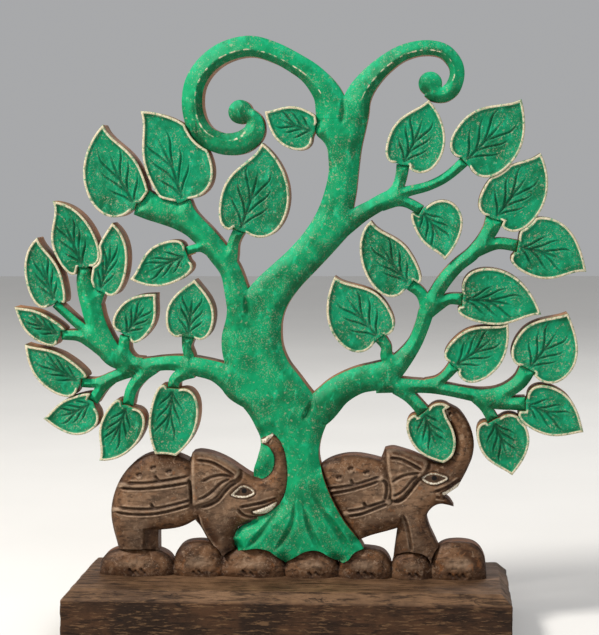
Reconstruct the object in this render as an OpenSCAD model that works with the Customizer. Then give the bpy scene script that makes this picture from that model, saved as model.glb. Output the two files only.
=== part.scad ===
// Tree of life panel: a fretted wooden relief of a scrolling tree with leaves, flanked by two
// elephants, on a row of boulders and a chamfered plinth. Millimetres, Z up, front faces -Y,
// origin at the centre of the plinth's underside. Outlines are drawn in the panel plane as
// [x, height above the plinth top] and extruded through the panel's thickness.

/* [Plinth] */
// width of the plinth
plinth_w = 304; // [240:1:380]
// depth of the plinth, front to back
plinth_d = 110; // [70:1:150]
// height of the plinth
plinth_h = 35; // [20:1:60]
// chamfer round the plinth's top edge
plinth_chamfer = 7; // [2:0.5:12]

/* [Panel] */
// thickness of the fretted panel
panel_t = 20; // [12:1:30]
// glue line left between two pieces that meet
glue_gap = 0.1; // [0:0.05:0.4]
// how far behind the panel's front face the tree starts where the left elephant laps it
lap_depth = 7; // [4:0.5:12]

/* [Fixings] */
// diameter of the pin in each leaf stem
leaf_pin_d = 2; // [1.5:0.1:3]
// length of a leaf pin, half in the leaf and half in the stem
leaf_pin_l = 10; // [6:1:16]
// diameter of the dowels that join the limbs
limb_dowel_d = 5; // [3:0.5:8]
// length of a limb dowel
limb_dowel_l = 24; // [14:1:32]
// diameter of the upright dowels in the feet and the skirt
foot_dowel_d = 4; // [3:0.5:6]
// length of a foot dowel
foot_dowel_l = 18; // [12:1:24]
// shank diameter of the screws from below
screw_d = 4; // [3:0.5:6]
// head diameter of the screws
screw_head_d = 8; // [6:0.5:12]
// height of a screw head
screw_head_h = 3; // [2:0.5:5]
// depth of the counterbore in the plinth's underside
screw_sink = 12; // [6:1:20]
// how far a screw reaches above the plinth's top
screw_reach = 12; // [6:1:16]

/* [Hidden] */
half_t = panel_t / 2;
front_y = -half_t;
back_y = half_t;
lap_y = front_y + lap_depth;
half_gap = glue_gap / 2;
steps = 4;          // straight pieces in each stretch of a smooth curve
leaf_steps = 7;     // straight pieces in each quarter of a leaf's edge
round_fn = 32;
past = 1;           // how far a cutter runs past the face it cuts
CORNER = 1;         // third value of an outline point where the edge turns sharply

// ---- curves -------------------------------------------------------------------------------

// A point at t on the smooth curve from b to c, with a before and d after.
function spline(a, b, c, d, t) =
    0.5 * (2 * b + (c - a) * t + (2 * a - 5 * b + 4 * c - d) * t * t
           + (3 * b - a - 3 * c + d) * t * t * t);

// A smooth run through rows of numbers that starts and ends at its first and last row.
function smooth_run(rows) = [
    for (i = [0 : len(rows) - 2], k = [0 : steps - 1])
        spline(rows[max(i - 1, 0)], rows[i], rows[i + 1], rows[min(i + 2, len(rows) - 1)],
               k / steps),
    rows[len(rows) - 1]
];

function flat(p) = [p[0], p[1]];
function is_corner(p) = len(p) > 2;

// A closed smooth outline; a point marked CORNER keeps its sharp turn.
function smooth_loop(pts) = let (n = len(pts)) [
    for (i = [0 : n - 1], k = [0 : steps - 1])
        let (b = pts[i], c = pts[(i + 1) % n],
             a = is_corner(b) ? b : pts[(i + n - 1) % n],
             d = is_corner(c) ? c : pts[(i + 2) % n])
        spline(flat(a), flat(b), flat(c), flat(d), k / steps)
];

function bezier(a, b, c, d, t) =
    pow(1 - t, 3) * a + 3 * pow(1 - t, 2) * t * b + 3 * (1 - t) * t * t * c + pow(t, 3) * d;

function heading(angle) = [cos(angle), sin(angle)];

// A limb that follows rows of [x, height, half width].
module ribbon(rows) {
    run = smooth_run(rows);
    last = len(run) - 1;
    edge = [for (i = [0 : last])
        let (ahead = run[min(i + 1, last)], behind = run[max(i - 1, 0)],
             way = flat(ahead) - flat(behind), side = [-way[1], way[0]] / norm(way))
        [flat(run[i]) + side * run[i][2], flat(run[i]) - side * run[i][2]]];
    for (i = [0 : last - 1])
        polygon([edge[i][0], edge[i + 1][0], edge[i + 1][1], edge[i][1]]);
}

// Lifts a panel drawing to the top of the plinth and gives it the depth from y0 to y1.
module stand(y0, y1) {
    translate([0, y1, plinth_h]) rotate([90, 0, 0]) linear_extrude(y1 - y0) children();
}

// A piece's outline, drawn in by half the glue line all round.
module piece_2d() {
    offset(delta = -half_gap) children();
}

// ---- the tree's limbs ---------------------------------------------------------------------

trunk_edge = [
    [22, 316, CORNER], [19.5, 311], [20, 305], [24, 301], [27, 296], [28, 288], [28, 279],
    [25, 266], [20, 253], [12, 240], [1, 227.5], [-10, 217.5], [-20, 208.5],
    [-28, 200, CORNER], [-42, 190, CORNER], [-43, 180], [-46, 168], [-46, 158],
    [-44, 147, CORNER], [-34, 121, CORNER], [-27, 112], [-22, 102], [-20, 93], [-22, 83],
    [-25, 73], [-24, 60], [-22, 50], [-26, 39], [-33, 35], [-38, 30], [-39.5, 24],
    [-36, 17.5, CORNER], [-30, 19.3], [-22, 20.3], [-14, 18.6], [-8, 14], [-3, 10, CORNER],
    [3, 14], [10, 18], [17, 19.5], [23, 18], [30, 13.5], [37, 10.5, CORNER], [41, 13],
    [45, 18], [51.5, 20.5, CORNER], [46, 29.5], [38, 40], [31, 52.5], [26, 64], [22.5, 75],
    [20.5, 86], [22, 96], [25.5, 105.5, CORNER], [17, 127.5, CORNER], [12, 134], [6, 142],
    [0, 150], [-4, 160], [-5, 170], [-4, 180], [0, 190], [8, 201], [18, 211.5], [28, 222],
    [43, 238.5, CORNER], [45, 256, CORNER], [47, 267], [48.5, 281], [50.5, 296], [53, 307],
    [55, 316, CORNER]
];

scroll_left_run = [
    [34, 306, 12], [31, 320, 11.5], [27, 333, 9.6], [17.5, 345, 7.8], [6.5, 353, 7],
    [-8.5, 361, 6.8], [-25, 365.3, 7], [-42, 361.7, 7], [-55, 352.7, 6.9], [-63, 340.5, 7],
    [-65, 327, 7.1], [-62.5, 314, 7.2], [-55.5, 304.5, 7.2], [-43.5, 299.4, 7.4],
    [-31.5, 300.3, 7.8], [-23.5, 306, 7.4], [-22, 313.5, 6.2], [-25.5, 319.5, 4.2],
    [-30, 322, 3]
];
scroll_left_ball = [-32, 321, 8.2];

scroll_right_run = [
    [41, 306, 10.5], [45, 319, 10.3], [48.5, 331, 8.8], [55, 341, 7.5], [65, 351, 6.3],
    [78, 359.5, 5.4], [92.5, 363, 5], [105.3, 361, 4.9], [113, 353.5, 4.9], [115, 345, 5],
    [112, 336, 5.4], [106, 331.5, 5.2], [99.5, 330.8, 4], [94, 333, 2.6]
];
scroll_right_ball = [97, 339, 8];

bough_left_upper_runs = [
    [[-32, 184, 10], [-36, 200, 8.2], [-40, 213, 7.2], [-48, 225, 7.6], [-57, 236, 7.6],
     [-64, 244, 7], [-69, 252, 5.8], [-72, 260, 5.4]],
    [[-56, 233, 6.5], [-66, 242, 6.4], [-76, 247, 6], [-86, 250, 5.4], [-96, 252.5, 4.8],
     [-105, 255.5, 4.2]],
    [[-41, 214, 5], [-39, 223, 4.4], [-37.5, 232, 3.8], [-33.5, 240.5, 4]],
    [[-52, 225, 4], [-60, 228.5, 3], [-70, 226.5, 2.8]]
];
// thin web that fills the crotch between the two top leaves of the left bough
bough_left_web = [[-105, 256], [-99, 262], [-95, 268], [-88, 263.5], [-76, 260], [-70, 250]];

bough_left_lower_runs = [
    [[-22, 126, 11.5], [-34, 134, 12.2], [-43, 139.5, 9], [-52, 143.5, 7], [-62, 146, 6.6],
     [-72, 148, 5.8], [-82, 148.8, 5.1], [-92, 148, 4.9], [-101, 146.6, 5.2]],
    [[-70, 146, 5], [-69, 153, 3.8], [-70.5, 160, 3.2], [-69.5, 167, 4.6]],
    [[-66, 143, 4.5], [-74, 141, 4.6], [-79, 137, 4], [-80, 131.5, 4]],
    [[-94, 146, 5], [-103, 139, 4.6], [-109.5, 130, 4], [-112, 119.5, 3.8]],
    [[-101, 148, 4.5], [-109, 149, 5], [-114, 157, 4], [-113.5, 168, 3.6]]
];

branch_left_outer_runs = [
    [[-104, 146, 4.8], [-114, 149, 6], [-121.5, 153.5, 7.5], [-127, 160.5, 7.8],
     [-131, 169, 7.4], [-134.5, 179, 7], [-137, 189, 7.2], [-140, 199, 6.3],
     [-141.5, 207, 5.3], [-141, 215, 4.2]],
    [[-136, 186, 5], [-133, 193, 4.2], [-130.5, 199, 3.8]],
    [[-128, 158, 6], [-137, 163.5, 4.8], [-146, 167.5, 3.8], [-158, 168, 3.2]],
    [[-130, 163, 5], [-139, 170, 3.6], [-148, 177, 3.1], [-162, 190, 3]]
];

branch_left_low_runs = [
    [[-100, 145, 4], [-108, 143.5, 4.4], [-116, 141, 4.2], [-125, 137.5, 4], [-135, 134.6, 3.2],
     [-144.5, 135, 3.2]],
    [[-122, 138, 3.6], [-130, 132, 4], [-136.5, 122, 3.6]]
];

twig_right_upper_runs = [
    [[28, 233, 6], [35, 240, 6.8], [43, 246.5, 6.6], [50, 251.3, 6], [57, 255.3, 5.5],
     [66, 260.4, 5.4], [74, 264.2, 4.8], [83, 266.8, 3.6], [94, 269.5, 3.3], [104, 273.8, 3.3],
     [112, 279.3, 3.4], [120, 286.5, 3.6]],
    [[66, 260, 4.6], [73.5, 267, 4.2], [77, 275, 4], [78.5, 284.5, 4.4]],
    [[64, 257.5, 4.5], [75, 260, 3.8], [83, 258.2, 3.5], [91, 253.5, 3.6]]
];

bough_right_main_runs = [
    [[8, 108, 12], [22, 118, 11.4], [34, 129.7, 10], [47.5, 137, 9.2], [60, 140, 9.4],
     [70, 144, 8.4], [78.5, 152, 6.4], [86.5, 163, 5], [91.5, 175, 5], [95, 186, 5.4],
     [101, 197, 5], [107.5, 207, 5], [116, 216.4, 4.7], [125.5, 224, 4.8], [133, 233, 4.8],
     [138, 241, 5.4], [140.5, 248, 6]],
    [[123, 222.5, 4], [132, 227.5, 4.2], [143, 231, 4], [156, 229.3, 4]],
    [[95, 184, 5], [103, 189.5, 4.2], [110, 193.2, 3.7], [119, 193, 4.2]],
    [[74, 147, 6], [67.5, 153.5, 4.4], [67, 160.5, 3.6], [62.5, 166.8, 4]],
    [[95, 184, 5], [93.5, 191.5, 4.2], [90, 198, 3.8], [83.5, 203, 4]]
];

bough_right_lower_runs = [
    [[60, 134, 5.5], [72, 134.2, 5.4], [84, 133.6, 4.8], [96, 133, 4.4], [108, 131.2, 4.1],
     [120, 128.8, 4.2], [132, 127, 4.8], [143, 128, 5], [152, 132, 5], [159, 138, 5.2],
     [163.5, 146, 5.6]],
    [[94, 134, 4.2], [102, 136.4, 3.6], [108, 141, 3.4], [113.5, 147.5, 4]],
    [[128, 126, 4], [140, 122.6, 4.4], [151, 121.8, 4.4], [162, 121.8, 4.6]],
    [[128, 126, 4], [134.5, 119.5, 3.8], [140, 110.5, 4]],
    [[74, 132.5, 5], [82, 127, 4.4], [88, 121, 4.2], [92.5, 115.5, 4.6]]
];

module runs_2d(runs) {
    for (run = runs) ribbon(run);
}

module disc_2d(row) {
    translate([row[0], row[1]]) circle(r = row[2], $fn = round_fn);
}

module trunk_2d() {
    polygon(smooth_loop(trunk_edge));
}

module scroll_left_2d() {
    ribbon(scroll_left_run);
    disc_2d(scroll_left_ball);
}

module scroll_right_2d() {
    ribbon(scroll_right_run);
    disc_2d(scroll_right_ball);
}

module bough_left_upper_2d() {
    runs_2d(bough_left_upper_runs);
    polygon(bough_left_web);
}

module limbs_2d() {
    trunk_2d();
    scroll_left_2d();
    scroll_right_2d();
    bough_left_upper_2d();
    runs_2d(bough_left_lower_runs);
    runs_2d(branch_left_outer_runs);
    runs_2d(branch_left_low_runs);
    runs_2d(twig_right_upper_runs);
    runs_2d(bough_right_main_runs);
    runs_2d(bough_right_lower_runs);
}

// ---- the leaves ---------------------------------------------------------------------------

// [stem x, stem z, tip x, tip z, half width left, half width right of the line from stem to
//  tip, turn of the tip to the right in degrees, half the tip's angle, face set back]
leaves_left = [
    [-103, 256, -126, 313, 28.5, 12.5, 33, 34, 0.0],
    [-72, 260, -100, 322, 14.3, 30.6, -29, 36, 0.6],
    [-33, 240, -17, 300, 18.3, 28.6, -32, 36, 0.3],
    [19, 307, -15, 321, 17, 11.7, 14, 42, 0.8],
    [-141, 214, -162, 261, 14, 17, -30, 30, 0.9],
    [-161, 190, -173, 236, 16, 9.5, 30, 36, 0.2],
    [-130.5, 198, -120.5, 246, 7.5, 16, -20, 43, 0.0],
    [-69, 223.5, -109, 207, 14, 15, 15, 34, 0.5],
    [-113, 168, -91, 197, 15, 12, 11, 42, 1.0],
    [-69, 167, -64, 207, 17, 16.5, 0, 45, 0.2],
    [-158, 168, -190, 188, 12, 7, 8, 30, 0.6],
    [-144, 135, -183, 162, 16.8, 9.3, 17, 32, 0.0],
    [-136, 122, -171, 110, 19.3, 8, 18, 37, 0.7],
    [-112, 120, -132, 81, 18.6, 11.3, 32, 38, 0.2],
    [-80, 132, -90, 76, 21, 13, 10, 32, 0.5]
];

leaves_right = [
    [78, 284, 96, 328, 16, 22.5, -20, 45, 0.2],
    [120, 286, 158, 328, 20, 24, -18, 38, 0.0],
    [140, 247, 171, 292, 18.5, 22.5, -22, 39, 0.7],
    [155, 229, 202, 212, 26, 15.3, 23, 36, 0.3],
    [90, 254, 107, 220, 24, 9, 31, 41, 0.8],
    [84, 202, 57, 247, 22.5, 12, 42, 43, 0.2],
    [63, 166, 32, 209, 24.3, 18, 23, 37, 0.0],
    [118, 193, 172, 183, 25, 13.2, 25, 36, 0.4],
    [113, 147, 150, 177, 15, 20, -21, 36, 0.8],
    [163, 145, 190, 184, 19, 24.5, -13, 45, 0.2],
    [161, 122, 201, 103, 19, 13.5, 9, 42, 0.5],
    [140, 111, 153, 73, 20, 15, 12, 45, 0.0],
    [92, 116.5, 112, 79, 20, 17, 0, 40, 0.9]
];
leaf_belly = 0.35;       // where a leaf is widest, as a share of its length
leaf_base_half = 4;      // half the straight edge that meets the stem
leaf_lobe_drop = 0.08;   // how far the lobes swing back past the stem, share of length

function leaf_way(row) = let (d = [row[2] - row[0], row[3] - row[1]]) d / norm(d);
function leaf_length(row) = norm([row[2] - row[0], row[3] - row[1]]);
function leaf_angle(row) = atan2(row[3] - row[1], row[2] - row[0]);

// One side of a leaf, stem to tip; hand is +1 for the left side and -1 for the right.
function leaf_side(row, hand) =
    let (way = leaf_way(row), side = [-way[1], way[0]] * hand, len = leaf_length(row),
         wide = hand > 0 ? row[4] : row[5],
         stem = flat(row), tip = [row[2], row[3]],
         arrive = heading(leaf_angle(row) - row[6] - hand * row[7]),
         start = stem + side * leaf_base_half,
         lobe = stem + side * (leaf_base_half + 0.6 * (wide - leaf_base_half))
                - way * len * leaf_lobe_drop,
         low = stem + side * wide + way * len * leaf_belly * 0.25,
         widest = stem + side * wide + way * len * leaf_belly,
         high = widest + way * len * (1 - leaf_belly) * 0.5,
         near = tip - arrive * len * (1 - leaf_belly) * 0.35)
    concat([for (k = [0 : leaf_steps - 1]) bezier(start, lobe, low, widest, k / leaf_steps)],
           [for (k = [0 : leaf_steps - 1]) bezier(widest, high, near, tip, k / leaf_steps)]);

function reverse(list) = [for (i = [len(list) - 1 : -1 : 0]) list[i]];

module leaf_2d(row) {
    polygon(concat(leaf_side(row, 1), [[row[2], row[3]]], reverse(leaf_side(row, -1))));
}

// A leaf is trimmed by the limbs, the elephants and the leaves before it in its list.
module leaf(rows, i) {
    difference() {
        stand(front_y + rows[i][8], back_y)
            piece_2d() difference() {
                leaf_2d(rows[i]);
                limbs_2d();
                elephant_left_2d();
                elephant_right_2d();
                if (i > 0) for (j = [0 : i - 1]) leaf_2d(rows[j]);
            }
        leaf_pin(rows[i]);
    }
}

module leaf_pin(row) {
    stem = flat(row);
    translate([stem[0], 0, stem[1] + plinth_h])
        rotate([0, 90 - leaf_angle(row), 0])
            cylinder(d = leaf_pin_d, h = leaf_pin_l, center = true, $fn = round_fn);
}

// ---- elephants and boulders ---------------------------------------------------------------

elephant_left_edge = [
    [-118, 10, CORNER], [-121, 22], [-124, 34], [-125, 45], [-122.8, 57], [-117.6, 68.6],
    [-109.8, 78], [-100.6, 83.8], [-90, 85.8], [-79, 84.6], [-69.5, 80.6, CORNER],
    [-67.4, 86.4, CORNER], [-62, 87.3], [-52, 85.2], [-42, 80.6], [-34, 75.3], [-27, 70.9],
    [-20, 69], [-14.5, 72], [-11.3, 78], [-11.5, 85], [-15, 90.5], [-19.2, 93.2, CORNER],
    [-19.4, 96.8, CORNER], [-16, 98.5], [-11.5, 102, CORNER], [-6.5, 97], [-2.5, 89], [-0.7, 79],
    [-0.4, 69], [-2, 59], [-5.5, 51.5], [-10, 46.8], [-16, 42.8], [-24, 40], [-31, 37.5],
    [-36, 33.5], [-38.5, 27], [-38.5, 20], [-40, 10, CORNER], [-46, 6, CORNER], [-51, 16],
    [-57, 25], [-62, 34], [-66, 39, CORNER], [-72, 35.5], [-80, 33], [-92, 31.5, CORNER],
    [-92, 10, CORNER]
];

elephant_right_edge = [
    [18, 75, CORNER], [26, 80.9], [34, 84], [43, 85.4], [53, 84.6], [63.3, 82.2, CORNER],
    [66, 89.5, CORNER], [72, 90.4], [80.5, 88.3], [89, 85.2], [96, 82], [102, 80.5], [108, 82],
    [113, 87], [114.7, 95], [113, 104], [108.5, 113, CORNER], [107, 117.5, CORNER],
    [111, 120, CORNER], [118, 115.5], [124, 106], [127, 96], [126.3, 86], [123, 77],
    [119, 69], [116.3, 64, CORNER], [111, 60.2], [106.5, 57.2, CORNER], [110.5, 54.5],
    [113.5, 50, CORNER],
    [105, 51.7], [99, 49.5], [95, 43.5], [97, 35], [101, 26], [104, 18], [104, 8, CORNER],
    [71, 8, CORNER], [73, 24], [74.5, 34.5, CORNER], [66, 32], [57, 29.5], [48, 26],
    [38, 22, CORNER], [22, 50, CORNER]
];

// each boulder: left end, right end, height
boulders = [
    [-134, -81, 18.5], [-82, -45, 23.5], [-50, -3, 20], [-4, 34, 20], [33, 71, 20],
    [70, 99, 18.5], [97, 136, 25.5]
];
boulder_bluntness = 0.7; // below 1 makes an arch squarer than an ellipse
boulder_turn = 12;       // degrees between the points of an arch

module boulder_2d(row) {
    mid = (row[0] + row[1]) / 2;
    half = (row[1] - row[0]) / 2;
    polygon([for (a = [0 : boulder_turn : 180])
        [mid + half * sign(cos(a)) * pow(abs(cos(a)), boulder_bluntness),
         row[2] * pow(abs(sin(a)), boulder_bluntness)]]);
}

module boulders_2d() {
    for (row = boulders) boulder_2d(row);
}

module elephant_left_2d() {
    polygon(smooth_loop(elephant_left_edge));
}

module elephant_right_2d() {
    polygon(smooth_loop(elephant_right_edge));
}

// ---- fixings ------------------------------------------------------------------------------

// each limb dowel: middle x, middle z, direction in degrees, middle y
limb_dowels = [
    [30, 316, 110, 0], [46.5, 316, 75, 0], [-34, 196, 108, 0], [-39, 134, 142, 0],
    [44, 247, 30, 0], [22, 118, 50, 0], [66, 134, 0, 0],
    [-107, 147, 158, -3.3], [-104, 144.5, 190, 3.3]
];
// each foot dowel: x, height of its middle above the plinth
foot_dowels = [[-22, 20], [17, 20], [-111, 17.5], [-44, 12], [78, 17.5], [92, 17.5]];
screw_xs = [-92, -30, 52, 116];

module limb_dowel(row) {
    translate([row[0], row[3], row[1] + plinth_h])
        rotate([0, 90 - row[2], 0])
            cylinder(d = limb_dowel_d, h = limb_dowel_l, center = true, $fn = round_fn);
}

module foot_dowel(row) {
    translate([row[0], 0, row[1] + plinth_h])
        cylinder(d = foot_dowel_d, h = foot_dowel_l, center = true, $fn = round_fn);
}

module screw(x) {
    translate([x, 0, screw_sink])
        cylinder(d = screw_d, h = plinth_h + screw_reach - screw_sink, $fn = round_fn);
    translate([x, 0, screw_sink - screw_head_h])
        cylinder(d = screw_head_d, h = screw_head_h, $fn = round_fn);
}

module leaf_pins() {
    color("burlywood") {
        for (row = leaves_left) leaf_pin(row);
        for (row = leaves_right) leaf_pin(row);
    }
}

module bough_dowels() {
    color("burlywood") for (row = limb_dowels) limb_dowel(row);
}

module base_dowels() {
    color("burlywood") for (row = foot_dowels) foot_dowel(row);
}

module base_screws() {
    color("silver") for (x = screw_xs) screw(x);
}

// Everything that is bored out of the limbs, feet and boulders.
module limb_bores() {
    for (row = limb_dowels) limb_dowel(row);
    for (row = leaves_left) leaf_pin(row);
    for (row = leaves_right) leaf_pin(row);
}

// ---- the pieces ---------------------------------------------------------------------------

module plinth() {
    color("saddlebrown") difference() {
        union() {
            translate([-plinth_w / 2, -plinth_d / 2, 0])
                cube([plinth_w, plinth_d, plinth_h - plinth_chamfer]);
            hull() {
                translate([-plinth_w / 2, -plinth_d / 2, plinth_h - plinth_chamfer - past])
                    cube([plinth_w, plinth_d, past]);
                translate([plinth_chamfer - plinth_w / 2, plinth_chamfer - plinth_d / 2,
                           plinth_h - past])
                    cube([plinth_w - 2 * plinth_chamfer, plinth_d - 2 * plinth_chamfer, past]);
            }
        }
        for (x = screw_xs) {
            translate([x, 0, -past])
                cylinder(d = screw_d, h = plinth_h + 2 * past, $fn = round_fn);
            translate([x, 0, -past])
                cylinder(d = screw_head_d, h = screw_sink + past, $fn = round_fn);
        }
    }
}

module boulder_strip() {
    color("dimgray") difference() {
        stand(front_y, back_y) piece_2d() difference() {
            boulders_2d();
            trunk_2d();
        }
        for (row = foot_dowels) foot_dowel(row);
        for (x = screw_xs) screw(x);
    }
}

module trunk() {
    color("seagreen") difference() {
        stand(front_y, back_y) piece_2d() trunk_2d();
        stand(front_y - past, lap_y + half_gap) offset(delta = half_gap) elephant_left_2d();
        limb_bores();
        for (row = foot_dowels) foot_dowel(row);
    }
}

module scroll_left() {
    color("mediumseagreen") difference() {
        stand(front_y, back_y) piece_2d() difference() {
            scroll_left_2d();
            trunk_2d();
        }
        limb_bores();
    }
}

module scroll_right() {
    color("mediumseagreen") difference() {
        stand(front_y, back_y) piece_2d() difference() {
            scroll_right_2d();
            trunk_2d();
            scroll_left_2d();
        }
        limb_bores();
    }
}

module bough_left_upper() {
    color("green") difference() {
        stand(front_y, back_y) piece_2d() difference() {
            bough_left_upper_2d();
            trunk_2d();
        }
        limb_bores();
    }
}

module bough_left_lower() {
    color("green") difference() {
        stand(front_y, back_y) piece_2d() difference() {
            runs_2d(bough_left_lower_runs);
            trunk_2d();
        }
        limb_bores();
    }
}

module branch_left_outer() {
    color("forestgreen") difference() {
        stand(front_y, back_y) piece_2d() difference() {
            runs_2d(branch_left_outer_runs);
            runs_2d(bough_left_lower_runs);
        }
        limb_bores();
    }
}

module branch_left_low() {
    color("forestgreen") difference() {
        stand(front_y, back_y) piece_2d() difference() {
            runs_2d(branch_left_low_runs);
            runs_2d(bough_left_lower_runs);
            runs_2d(branch_left_outer_runs);
        }
        limb_bores();
    }
}

module twig_right_upper() {
    color("green") difference() {
        stand(front_y, back_y) piece_2d() difference() {
            runs_2d(twig_right_upper_runs);
            trunk_2d();
        }
        limb_bores();
    }
}

module bough_right_main() {
    color("green") difference() {
        stand(front_y, back_y) piece_2d() difference() {
            runs_2d(bough_right_main_runs);
            trunk_2d();
        }
        limb_bores();
    }
}

module bough_right_lower() {
    color("forestgreen") difference() {
        stand(front_y, back_y) piece_2d() difference() {
            runs_2d(bough_right_lower_runs);
            runs_2d(bough_right_main_runs);
        }
        limb_bores();
    }
}

module elephant_left() {
    color("peru") difference() {
        stand(front_y, back_y) piece_2d() difference() {
            elephant_left_2d();
            difference() {
                boulders_2d();
                trunk_2d();
            }
        }
        stand(lap_y - half_gap, back_y + past) offset(delta = half_gap) trunk_2d();
        for (row = foot_dowels) foot_dowel(row);
    }
}

module elephant_right() {
    color("peru") difference() {
        stand(front_y, back_y) piece_2d() difference() {
            elephant_right_2d();
            boulders_2d();
            trunk_2d();
        }
        for (row = foot_dowels) foot_dowel(row);
    }
}

module leaf_left(i) {
    color("mediumaquamarine") leaf(leaves_left, i);
}

module leaf_right(i) {
    color("mediumaquamarine") leaf(leaves_right, i);
}

plinth();
boulder_strip();
trunk();
scroll_left();
scroll_right();
bough_left_upper();
bough_left_lower();
branch_left_outer();
branch_left_low();
twig_right_upper();
bough_right_main();
bough_right_lower();
elephant_left();
elephant_right();
leaf_pins();
bough_dowels();
base_dowels();
base_screws();
leaf_left(0);  // leaf_left_01
leaf_left(1);  // leaf_left_02
leaf_left(2);  // leaf_left_03
leaf_left(3);  // leaf_left_04
leaf_left(4);  // leaf_left_05
leaf_left(5);  // leaf_left_06
leaf_left(6);  // leaf_left_07
leaf_left(7);  // leaf_left_08
leaf_left(8);  // leaf_left_09
leaf_left(9);  // leaf_left_10
leaf_left(10);  // leaf_left_11
leaf_left(11);  // leaf_left_12
leaf_left(12);  // leaf_left_13
leaf_left(13);  // leaf_left_14
leaf_left(14);  // leaf_left_15
leaf_right(0);  // leaf_right_01
leaf_right(1);  // leaf_right_02
leaf_right(2);  // leaf_right_03
leaf_right(3);  // leaf_right_04
leaf_right(4);  // leaf_right_05
leaf_right(5);  // leaf_right_06
leaf_right(6);  // leaf_right_07
leaf_right(7);  // leaf_right_08
leaf_right(8);  // leaf_right_09
leaf_right(9);  // leaf_right_10
leaf_right(10);  // leaf_right_11
leaf_right(11);  // leaf_right_12
leaf_right(12);  // leaf_right_13
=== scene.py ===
"""A carved and painted tree of life panel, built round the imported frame.

Every board of the panel is a relief: its outline comes from its CAD node, and its front face is
carved by a drop(x, z) function, in millimetres behind the front plane. Panel coordinates are
(x, height above the plinth's top) in millimetres.
"""
import math

import bpy
import numpy as np
from mathutils import Matrix, Vector
from mathutils.geometry import delaunay_2d_cdt


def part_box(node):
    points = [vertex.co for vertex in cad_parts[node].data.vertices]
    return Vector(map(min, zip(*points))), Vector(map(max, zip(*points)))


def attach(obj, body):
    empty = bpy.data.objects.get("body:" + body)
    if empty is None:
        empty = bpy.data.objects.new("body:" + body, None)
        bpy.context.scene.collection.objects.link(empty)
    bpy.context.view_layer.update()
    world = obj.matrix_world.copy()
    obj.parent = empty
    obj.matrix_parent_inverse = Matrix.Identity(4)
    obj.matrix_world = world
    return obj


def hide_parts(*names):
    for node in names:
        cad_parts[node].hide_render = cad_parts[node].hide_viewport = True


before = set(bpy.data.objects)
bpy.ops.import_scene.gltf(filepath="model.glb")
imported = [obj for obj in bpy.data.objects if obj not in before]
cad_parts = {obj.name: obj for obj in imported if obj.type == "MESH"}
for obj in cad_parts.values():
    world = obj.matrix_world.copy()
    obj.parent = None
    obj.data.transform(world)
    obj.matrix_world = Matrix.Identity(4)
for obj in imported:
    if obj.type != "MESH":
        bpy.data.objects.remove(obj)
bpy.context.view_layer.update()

MM = 0.001
PLINTH_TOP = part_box("plinth")[1].z / MM
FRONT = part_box("trunk")[0].y / MM
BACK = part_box("trunk")[1].y / MM

LEAF_NODES = sorted(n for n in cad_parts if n.startswith(("leaf_left", "leaf_right")))
LIMB_NODES = [
    "trunk", "scroll_left", "scroll_right", "bough_left_upper", "bough_left_lower",
    "branch_left_outer", "branch_left_low", "twig_right_upper", "bough_right_main",
    "bough_right_lower",
]

# ---- outlines from the frame ----------------------------------------------------------------


def node_points(node):
    """A CAD node's vertices in panel millimetres as x, y, z, and its faces."""
    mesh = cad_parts[node].data
    co = np.empty(len(mesh.vertices) * 3)
    mesh.vertices.foreach_get("co", co)
    co = co.reshape(-1, 3) / MM
    co[:, 2] -= PLINTH_TOP
    return co, [tuple(p.vertices) for p in mesh.polygons]


def cap_loops(node, y):
    """Closed outlines, as arrays of x, z, of a node's flat faces that lie at depth y."""
    co, faces = node_points(node)
    flat = np.abs(co[:, 1] - y) < 0.01
    keys = [tuple(k) for k in np.round(co[:, [0, 2]], 3)]
    count = {}
    for f in faces:
        if all(flat[v] for v in f):
            for a, b in zip(f, f[1:] + f[:1]):
                a, b = keys[a], keys[b]
                if a != b:
                    count[(a, b)] = count.get((a, b), 0) + 1
    onward = {}
    for a, b in count:
        if (b, a) not in count:
            onward.setdefault(a, []).append(b)
    loops = []
    while onward:
        start = next(iter(onward))
        loop, here = [start], start
        while True:
            there = onward[here].pop()
            if not onward[here]:
                del onward[here]
            if there == start or there not in onward:
                break
            loop.append(there)
            here = there
        if len(loop) > 2:
            loops.append(counter_clockwise(np.array(loop)))
    return loops


def area(loop):
    nxt = np.roll(loop, -1, 0)
    return 0.5 * np.sum(loop[:, 0] * nxt[:, 1] - nxt[:, 0] * loop[:, 1])


def counter_clockwise(loop):
    return loop if area(loop) > 0 else loop[::-1]


CORNER_TURN = math.radians(24)


def smooth_loop(loop, spacing):
    """The loop resampled along a curve through its points, with its sharp corners kept."""
    keep = np.hypot(*(np.roll(loop, -1, 0) - loop).T) > 0.05
    loop = loop[keep]
    ahead, behind = np.roll(loop, -1, 0) - loop, loop - np.roll(loop, 1, 0)
    turn = np.arctan2(ahead[:, 1], ahead[:, 0]) - np.arctan2(behind[:, 1], behind[:, 0])
    turn = (turn + math.pi) % (2 * math.pi) - math.pi
    corner = np.abs(turn) > CORNER_TURN
    la, lb = np.hypot(*ahead.T)[:, None], np.hypot(*behind.T)[:, None]
    tangent = ahead / la * lb + behind / lb * la
    tangent /= np.hypot(*tangent.T)[:, None]
    out = []
    for i in range(len(loop)):
        j = (i + 1) % len(loop)
        chord = loop[j] - loop[i]
        length = np.hypot(*chord)
        t0 = chord / length if corner[i] else tangent[i]
        t1 = chord / length if corner[j] else tangent[j]
        n = max(1, int(math.ceil(length / spacing)))
        for k in range(n):
            t = k / n
            out.append((2 * t**3 - 3 * t**2 + 1) * loop[i] + (t**3 - 2 * t**2 + t) * length * t0
                       + (3 * t**2 - 2 * t**3) * loop[j] + (t**3 - t**2) * length * t1)
    return np.array(out)


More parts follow.
